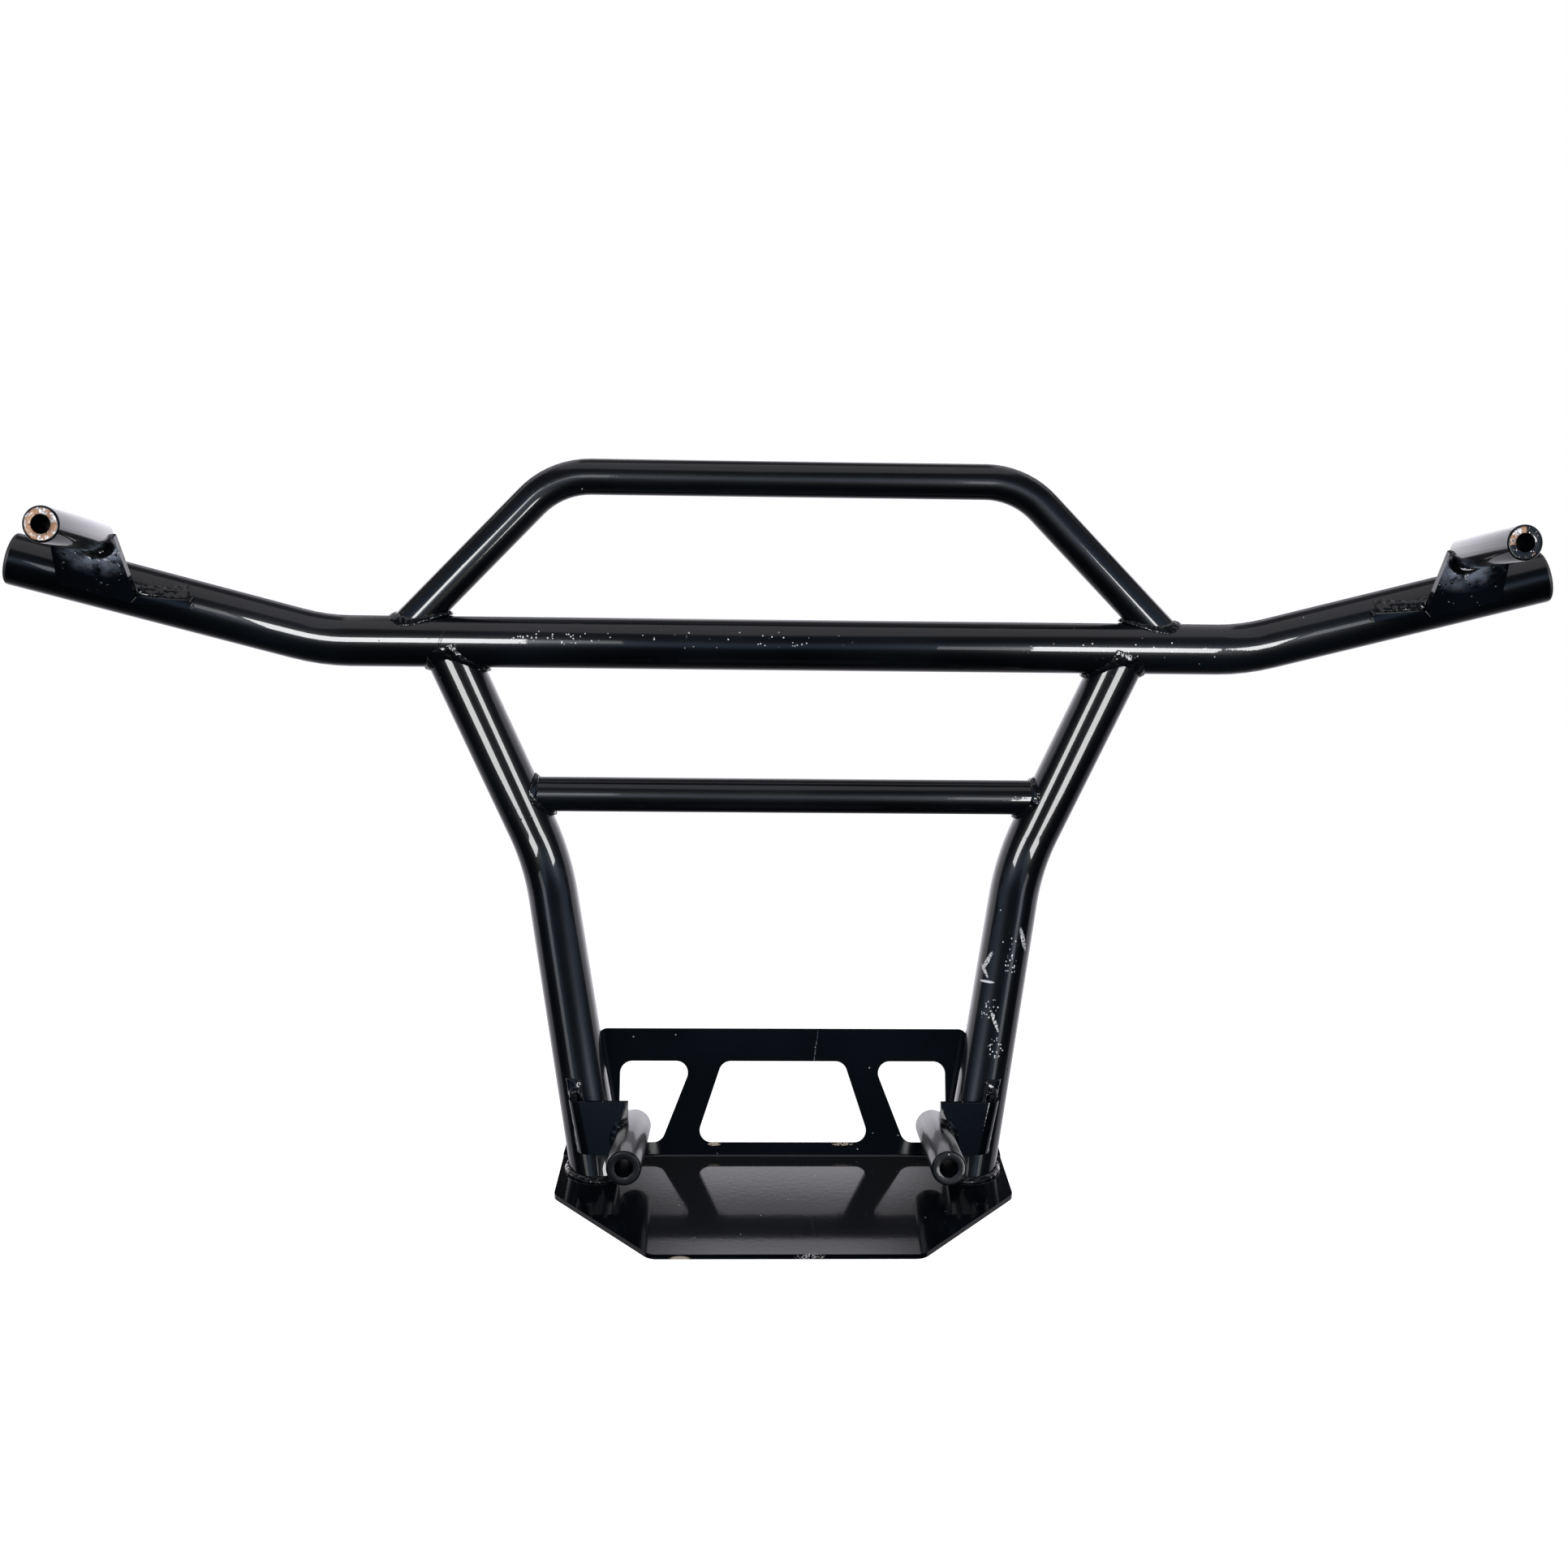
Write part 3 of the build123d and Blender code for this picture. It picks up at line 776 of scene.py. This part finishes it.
class BUMPER_OT_paint_frame(bpy.types.Operator):
    """Paints the tubes, the plate, the brackets and the sleeves, and rounds their cut edges"""

    bl_idname = "bumper.paint_frame"
    bl_label = "Paint the frame"

    def execute(self, context):
        paint = context.scene.bumper_paint
        metal = context.scene.bumper_metal
        tube_paint = gloss_paint("tube_paint", paint)
        main_paint = gloss_paint("main_tube_paint", paint, scuffs_and_highlights=main_tube_scuffs)
        leg_paint = gloss_paint("right_leg_paint", paint, dust_share=0.3, scuffs_and_highlights=right_leg_scuffs)
        scuffed = {"main_tube": main_paint, "leg_tube_right": leg_paint}
        plate_paint = gloss_paint(
            "plate_paint", paint, peel=0.7, satin=0.06, dust_share=0.5, scuffs_and_highlights=plate_scuffs_and_edge_highlight, glow=0.0,
        )
        bracket_paint = gloss_paint("bracket_paint", paint, peel=1.6, glow=0.0)
        lower_paint = gloss_paint("lower_sleeve_paint", paint, peel=3.0, dust_share=0.4, gloss=0.25)
        plug = plug_material(metal)
        for name, node in nodes.items():
            if name.startswith("weld"):
                continue
            if name.startswith("end_plug"):
                dress(node, plug)
                soften_edges(node, 0.0)
            elif name == "skid_plate":
                dress(node, plate_paint)
                soften_edges(node, metal.edge_round)
            elif name.startswith("upper_bracket"):
                dress(node, self.gusset_paint(name, paint))
                soften_edges(node, metal.edge_round * 2.0)
            elif name.startswith("lower_bracket"):
                dress(node, bracket_paint)
                soften_edges(node, metal.edge_round * 1.6)
            elif name.startswith("upper_sleeve"):
                dress(node, self.upper_sleeve_paint(name, paint, metal))
                soften_edges(node, sleeve_rounding, flat=False)
            elif name.startswith("lower_sleeve"):
                dress(node, lower_paint)
                soften_edges(node, sleeve_rounding, flat=False)
            else:
                dress(node, scuffed.get(name, tube_paint))
                soften_edges(node, 0.0)
        return {"FINISHED"}

    def gusset_paint(self, name, paint):
        """An upper bracket's paint, with a painted bluish sheen below the sleeve of the same side."""
        side = name.removeprefix("upper_bracket_")
        near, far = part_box(f"upper_sleeve_{side}")
        centre = ((near.x + far.x) / 2, (near.y + far.y) / 2, (near.z + far.z) / 2 - sheen_patch_below)
        painted_sheen = (centre, sheen_patch_reach, painted_sheen_tint)
        return gloss_paint(f"{side}_gusset_paint", paint, peel=1.6, painted_sheen=painted_sheen, glow=0.0)

    def upper_sleeve_paint(self, name, paint, metal):
        """An upper sleeve's paint with its bare rear end."""
        side = name.removeprefix("upper_sleeve_")
        near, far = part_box(name)
        middle = (near + far) / 2
        radius = (far.x - near.x) / 2
        title = f"{side}_upper_sleeve_paint"
        return sleeve_material(title, paint, metal, middle, radius, near.y, bare_sides[side])


class BUMPER_OT_weld_beads(bpy.types.Operator):
    """Lays a lumpy bead in place of each plain weld collar"""

    bl_idname = "bumper.weld_beads"
    bl_label = "Lay the weld beads"

    def execute(self, context):
        settings = context.scene.bumper_weld
        material = gloss_paint("weld_paint", context.scene.bumper_paint, skin=weld_skin)
        steel = [surface_of(node) for name, node in nodes.items() if not name.startswith("weld")]
        welds = [name for name in sorted(nodes) if name.startswith("weld")]
        for seed, name in enumerate(welds, start=1):
            self.lay(name, settings, material, seed, steel)
        return {"FINISHED"}

    def press(self, vertex, steel, share):
        """Draws a vertex towards the nearest steel, so that the bead lies low between the two parts."""
        hits = [surface.find_nearest(vertex.co, press_reach) for surface in steel]
        hits = [hit for hit in hits if hit[0] is not None]
        if hits:
            nearest = min(hits, key=lambda hit: hit[3])[0]
            vertex.co = nearest + (vertex.co - nearest) * share

    def lay(self, name, settings, material, seed, steel):
        """One bead: the plain collar, remeshed, smoothed, pressed down and given its own lumps."""
        builder = bmesh.new()
        builder.from_mesh(nodes[name].data)
        bmesh.ops.remove_doubles(builder, verts=builder.verts, dist=merge_distance)
        piece = add_piece(name.replace("weld", "bead"), builder, material)
        remesh = piece.modifiers.new("remesh", "REMESH")
        remesh.mode = "VOXEL"
        remesh.voxel_size = settings.grain
        graph = bpy.context.evaluated_depsgraph_get()
        finished = bpy.data.meshes.new_from_object(piece.evaluated_get(graph))
        piece.modifiers.clear()
        builder = bmesh.new()
        builder.from_mesh(finished)
        for _ in range(smoothing_rounds):
            bmesh.ops.smooth_vert(
                builder, verts=builder.verts, factor=0.5,
                use_axis_x=True, use_axis_y=True, use_axis_z=True,
            )
        for vertex in builder.verts:
            self.press(vertex, steel, settings.lie)
        builder.normal_update()
        shift = Vector([seed * step for step in seed_steps])
        for vertex in builder.verts:
            place = vertex.co / settings.lump + shift
            lump = noise.noise(place) * coarse_share + noise.noise(place * fine_scale) * fine_share
            vertex.co += vertex.normal * (settings.height * (lump - lump_sink))
        builder.normal_update()
        builder.to_mesh(piece.data)
        builder.free()
        bpy.data.meshes.remove(finished)
        for face in piece.data.polygons:
            face.use_smooth = True
        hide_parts(name)


class BUMPER_OT_spatter(bpy.types.Operator):
    """Scatters small painted-over weld drops on the brackets and beside the joints"""

    bl_idname = "bumper.spatter"
    bl_label = "Scatter the spatter"

    def execute(self, context):
        settings = context.scene.bumper_weld
        material = gloss_paint("spatter_paint", context.scene.bumper_paint, peel=0.5, dust_share=0.0)
        draw = random.Random(7)
        for side in ("left", "right"):
            self.scatter(f"bracket_drops_{side}", material, draw, self.bracket_spots(side, draw, settings))
            self.scatter(f"joint_drops_{side}", material, draw, self.joint_spots(side, draw, settings))
        return {"FINISHED"}

    def bracket_spots(self, side, draw, settings):
        """Points on the rear face of the upper bracket, below the sleeve."""
        surface = surface_of(nodes[f"upper_bracket_{side}"])
        near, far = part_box(f"upper_sleeve_{side}")
        middle = (near + far) / 2
        spots = []
        tries = 0
        while len(spots) < bracket_drops and tries < bracket_tries:
            tries += 1
            x = middle.x + draw.uniform(-bracket_half_width, bracket_half_width)
            z = middle.z - draw.uniform(*bracket_depths)
            place, normal, _, _ = surface.ray_cast(Vector((x, near.y, z)), forwards)
            if place is None or normal.y > bracket_facing:
                continue
            spots.append((place, normal, settings.spatter_radius * draw.uniform(*bracket_drop_sizes)))
        return spots

    def joint_spots(self, side, draw, settings):
        """Points on the tubes beside each weld, seen from the rear."""
        tubes = ("main_tube", f"leg_tube_{side}", "cross_bar", "hoop_tube")
        surfaces = [surface_of(nodes[name]) for name in tubes]
        spots = []
        for weld, count in joint_drops:
            near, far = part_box(f"weld_{weld}_{side}")
            tries = 0
            placed = 0
            while placed < count and tries < joint_tries:
                tries += 1
                x = draw.uniform(near.x - joint_margin, far.x + joint_margin)
                z = draw.uniform(near.z - joint_margin, far.z + joint_margin)
                start = Vector((x, joint_start_y, z))
                hits = [surface.ray_cast(start, forwards) for surface in surfaces]
                hits = [hit for hit in hits if hit[0] is not None]
                if not hits:
                    continue
                place, normal, _, _ = min(hits, key=lambda hit: hit[3])
                if normal.y > joint_facing:
                    continue
                placed += 1
                spots.append((place, normal, settings.spatter_radius * draw.uniform(*joint_drop_sizes)))
        return spots

    def scatter(self, name, material, draw, spots):
        """One piece of flattened drops, one at each spot."""
        if not spots:
            raise RuntimeError(f"{name} found no surface")
        builder = bmesh.new()
        for centre, normal, radius in spots:
            turn = normal.to_track_quat("Z", "Y").to_matrix().to_4x4()
            widths = [draw.uniform(*drop_widths) for _ in range(2)]
            shape = Matrix.Diagonal((*widths, drop_height, 1.0))
            bmesh.ops.create_icosphere(
                builder, subdivisions=2, radius=radius, matrix=Matrix.Translation(centre) @ turn @ shape,
            )
        add_piece(name, builder, material)


class BUMPER_OT_stage(bpy.types.Operator):
    """Sets up the pale floor, the white surroundings, the lamps and the camera"""

    bl_idname = "bumper.stage"
    bl_label = "Set the stage"

    def execute(self, context):
        settings = context.scene.bumper_stage
        glow = settings.strip_glow
        self.surroundings(context.scene)
        self.floor(settings)
        self.light_legs(glow)
        self.light_main_tube(glow)
        self.light_frame(glow)
        gussets = self.linked("gussets", gusset_names)
        self.stripe("lip_lamp", lip_place, lip_aim, lip_size, glow * lip_share, gussets)
        self.light_softly(settings)
        self.camera(context.scene, settings)
        context.scene.view_settings.view_transform = "Standard"
        return {"FINISHED"}

    def linked(self, name, members, state="INCLUDE"):
        """A collection for light linking, of the nodes that a lamp lights or leaves out."""
        group = bpy.data.collections.new(name)
        for member in members:
            group.objects.link(nodes[member])
        for entry in group.collection_objects:
            entry.light_linking.link_state = state
        return group

    def stripe(self, name, place, aim, size, glow, receivers):
        """A lamp that draws one stripe, as bright as its glow for each square metre."""
        width, height = size
        lamp = self.lamp(name, place, Vector(aim), width, height, glow * width * height)
        lamp.light_linking.receiver_collection = receivers

    def light_legs(self, glow):
        """Each leg's own lamps, the right leg's mirrored for the left."""
        for side, sign in (("left", -1.0), ("right", 1.0)):
            leg = self.linked(f"{side}_leg", (f"leg_tube_{side}",))
            aim = (leg_aim[0] * sign, leg_aim[1], leg_aim[2])
            for name, place, width, height, share in leg_lamps:
                place = (place[0] * sign, place[1], place[2])
                self.stripe(f"{side}_{name}_lamp", place, aim, (width, height), glow * share, leg)

    def light_main_tube(self, glow):
        """The main tube's own lamps, close behind it on each side."""
        main = self.linked("main_tube_alone", ("main_tube",))
        for side, sign, base in main_lamp_heights:
            for name, x, lift, width, height, share in main_lamps:
                place = (x * sign, main_lamp_y, base + lift)
                aim = (x * sign, main_tube_y, base + lift)
                self.stripe(f"{side}_{name}_lamp", place, aim, (width, height), glow * share, main)

    def light_frame(self, glow):
        """Far lamps for all but the plate and the pieces that have lamps of their own."""
        frame_alone = self.linked("not_lit_by_frame_lamps", not_by_frame_lamps, "EXCLUDE")
        for name, place, width, height, share in frame_lamps:
            aim = (place[0] * frame_aim_share, *frame_aim)
            self.stripe(name, place, aim, (width, height), glow * share, frame_alone)

    def light_softly(self, settings):
        """Wide lamps that show in no reflection."""
        for name, power, place, aim, width, height in soft_lamps:
            lamp = self.lamp(name, place, Vector(aim), width, height, getattr(settings, power))
            lamp.visible_glossy = False

    def levels(self, tree, value, stops):
        """A level that follows a direction's height, from minus one to one, through the stops."""
        lifted = maths(tree, "ADD", maths(tree, "MULTIPLY", value, 0.5), 0.5)
        scale = tree.nodes.new("ShaderNodeValToRGB")
        marks = scale.color_ramp.elements
        while len(marks) < len(stops):
            marks.new(0.5)
        for mark, (height, level) in zip(marks, stops):
            mark.position = height * 0.5 + 0.5
            mark.color = (level, level, level, 1.0)
        tree.links.new(lifted, scale.inputs["Fac"])
        return scale.outputs["Color"]

    def backdrop(self, tree, across, ahead, height):
        """The level behind the bumper: a banded wall with a bright patch in the middle of a dark band."""
        strength = maths(tree, "ADD", maths(tree, "MULTIPLY", ramp(tree, ahead, *backdrop_rise), 0.5), 0.5)
        wall = maths(tree, "MULTIPLY", self.levels(tree, height, backdrop_levels), strength)
        band_bottom = ramp(tree, height, *dark_band_bottom)
        band_top = ramp(tree, height, *dark_band_top)
        band = maths(tree, "MULTIPLY", band_bottom, band_top)
        from_patch = maths(tree, "ABSOLUTE", maths(tree, "SUBTRACT", across, bright_patch_x))
        faded = maths(tree, "MULTIPLY", band, ramp(tree, from_patch, *bright_patch_sides))
        wall = maths(tree, "MULTIPLY", wall, maths(tree, "SUBTRACT", 1.0, faded))
        shoulder = maths(tree, "MULTIPLY", ramp(tree, height, *shoulder_rise), shoulder_level)
        aside = maths(tree, "ABSOLUTE", across)
        shoulder = maths(tree, "MULTIPLY", shoulder, ramp(tree, aside, *shoulder_sides))
        return maths(tree, "MAXIMUM", wall, shoulder)

    def room(self, tree, across, height):
        """The level on the camera's side, whose bands rise towards the sides."""
        aside = maths(tree, "ABSOLUTE", across)
        lowered = maths(tree, "SUBTRACT", height, maths(tree, "MULTIPLY", aside, room_slope))
        return self.levels(tree, lowered, room_levels)

    def background(self, tree, strength, colour=white):
        """A world shader of a level or a socket, and of a colour or a socket."""
        node = tree.nodes.new("ShaderNodeBackground")
        for socket, value in ((node.inputs["Color"], colour), (node.inputs["Strength"], strength)):
            if isinstance(value, (float, tuple)):
                socket.default_value = value
            else:
                tree.links.new(value, socket)
        return node.outputs["Background"]

    def seen_directly(self, tree, rays):
        """One for the camera's own rays and those through glass."""
        return maths(tree, "MAXIMUM", rays.outputs["Is Camera Ray"], rays.outputs["Is Transmission Ray"])

    def surroundings(self, scene):
        """White to the eye, a pattern of levels in reflections and a soft even light otherwise."""
        world = bpy.data.worlds.new("studio")
        scene.world = world
        world.use_nodes = True
        tree = world.node_tree
        tree.nodes.clear()
        output = tree.nodes.new("ShaderNodeOutputWorld")
        rays = tree.nodes.new("ShaderNodeLightPath")
        direction = tree.nodes.new("ShaderNodeTexCoord").outputs["Generated"]
        split = tree.nodes.new("ShaderNodeSeparateXYZ")
        tree.links.new(direction, split.inputs["Vector"])
        across = split.outputs["X"]
        ahead = split.outputs["Y"]
        height = split.outputs["Z"]
        mixed = tree.nodes.new("ShaderNodeMix")
        tree.links.new(ramp(tree, ahead, *backdrop_edge), mixed.inputs["Factor"])
        tree.links.new(self.room(tree, across, height), mixed.inputs["A"])
        tree.links.new(self.backdrop(tree, across, ahead, height), mixed.inputs["B"])
        level = mixed.outputs["Result"]
        cold = maths(tree, "MULTIPLY", ramp(tree, height, *cold_top), ramp(tree, level, *cold_levels))
        cold = maths(tree, "MULTIPLY", cold, ramp(tree, ahead, *reversed(backdrop_edge)))
        tint = mix_colour(tree, cold, warm_tint, cold_tint)
        soft = self.background(tree, soft_level)
        mirrored = self.background(tree, level, tint)
        seen = self.background(tree, 1.0)
        bounced = mix_shaders(tree, rays.outputs["Is Glossy Ray"], soft, mirrored)
        both = mix_shaders(tree, self.seen_directly(tree, rays), bounced, seen)
        tree.links.new(both, output.inputs["Surface"])

    def floor_material(self):
        """White to the eye with a soft shadow, grey to bounced light and clear in reflections."""
        material = bpy.data.materials.new("pale_floor")
        material.use_nodes = True
        tree = material.node_tree
        tree.nodes.clear()
        output = tree.nodes.new("ShaderNodeOutputMaterial")
        rays = tree.nodes.new("ShaderNodeLightPath")
        lit = tree.nodes.new("ShaderNodeBsdfDiffuse")
        lit.inputs["Color"].default_value = floor_grey
        glow = tree.nodes.new("ShaderNodeEmission")
        glow.inputs["Color"].default_value = white
        glow.inputs["Strength"].default_value = floor_glow
        pale = tree.nodes.new("ShaderNodeAddShader")
        tree.links.new(lit.outputs["BSDF"], pale.inputs[0])
        tree.links.new(glow.outputs["Emission"], pale.inputs[1])
        dim = tree.nodes.new("ShaderNodeBsdfDiffuse")
        dim.inputs["Color"].default_value = bounce_grey
        clear = tree.nodes.new("ShaderNodeBsdfTransparent")
        mirrored = rays.outputs["Is Glossy Ray"]
        bounced = mix_shaders(tree, mirrored, dim.outputs["BSDF"], clear.outputs["BSDF"])
        choice = mix_shaders(tree, self.seen_directly(tree, rays), bounced, pale.outputs["Shader"])
        tree.links.new(choice, output.inputs["Surface"])
        return material

    def floor(self, settings):
        """The pale floor, which isn't part of the object."""
        builder = bmesh.new()
        bmesh.ops.create_grid(builder, x_segments=1, y_segments=1, size=floor_half_size)
        bmesh.ops.translate(builder, verts=builder.verts, vec=(0.0, 0.0, settings.floor_z))
        mesh = bpy.data.meshes.new("floor")
        builder.to_mesh(mesh)
        builder.free()
        mesh.materials.append(self.floor_material())
        floor = bpy.data.objects.new("floor", mesh)
        bpy.context.scene.collection.objects.link(floor)

    def lamp(self, name, place, aim, width, height, power):
        """A rectangular lamp that the camera doesn't see, turned towards its aim."""
        data = bpy.data.lights.new(name, "AREA")
        data.shape = "RECTANGLE"
        data.size = width
        data.size_y = height
        data.energy = power
        lamp = bpy.data.objects.new(name, data)
        lamp.location = place
        lamp.rotation_mode = "QUATERNION"
        lamp.rotation_quaternion = (aim - Vector(place)).to_track_quat("-Z", "Y")
        lamp.visible_camera = False
        bpy.context.scene.collection.objects.link(lamp)
        return lamp

    def camera(self, scene, settings):
        """The camera, turned by its yaw, pitch and roll."""
        yaw = settings.camera_yaw
        pitch = settings.camera_pitch
        roll = settings.camera_roll
        ahead = Vector((math.sin(yaw) * math.cos(pitch), math.cos(yaw) * math.cos(pitch), -math.sin(pitch)))
        level_right = Vector((math.cos(yaw), -math.sin(yaw), 0.0))
        level_up = level_right.cross(ahead)
        right = level_right * math.cos(roll) + level_up * math.sin(roll)
        up = level_up * math.cos(roll) - level_right * math.sin(roll)
        data = bpy.data.cameras.new("camera")
        data.sensor_fit = "HORIZONTAL"
        data.sensor_width = sensor_width
        data.lens = settings.camera_lens
        data.shift_x = camera_shift
        data.clip_start = 0.01
        data.clip_end = 100.0
        camera = bpy.data.objects.new("camera", data)
        turn = Matrix((right, up, -ahead)).transposed().to_4x4()
        camera.matrix_world = Matrix.Translation(settings.camera_place) @ turn
        scene.collection.objects.link(camera)
        scene.camera = camera


class BUMPER_PT_panel(bpy.types.Panel):
    """Lists the steps that dress the bumper"""

    bl_label = "Bumper"
    bl_idname = "BUMPER_PT_panel"
    bl_space_type = "VIEW_3D"
    bl_region_type = "UI"
    bl_category = "Bumper"

    def draw(self, context):
        for step in steps:
            self.layout.operator(step.bl_idname)


groups = (PaintSettings, MetalSettings, WeldSettings, StageSettings)
steps = (
    BUMPER_OT_paint_frame,
    BUMPER_OT_weld_beads,
    BUMPER_OT_spatter,
    BUMPER_OT_stage,
)


def register():
    for group in groups:
        bpy.utils.register_class(group)
    for step in steps:
        bpy.utils.register_class(step)
    bpy.utils.register_class(BUMPER_PT_panel)
    scene_type = bpy.types.Scene
    scene_type.bumper_paint = bpy.props.PointerProperty(type=PaintSettings)
    scene_type.bumper_metal = bpy.props.PointerProperty(type=MetalSettings)
    scene_type.bumper_weld = bpy.props.PointerProperty(type=WeldSettings)
    scene_type.bumper_stage = bpy.props.PointerProperty(type=StageSettings)


def unregister():
    for name in ("bumper_stage", "bumper_weld", "bumper_metal", "bumper_paint"):
        delattr(bpy.types.Scene, name)
    bpy.utils.unregister_class(BUMPER_PT_panel)
    for step in reversed(steps):
        bpy.utils.unregister_class(step)
    for group in reversed(groups):
        bpy.utils.unregister_class(group)


def main():
    register()
    bpy.ops.bumper.paint_frame()
    bpy.ops.bumper.weld_beads()
    bpy.ops.bumper.spatter()
    bpy.ops.bumper.stage()
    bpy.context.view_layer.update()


if __name__ == "__main__":
    main()
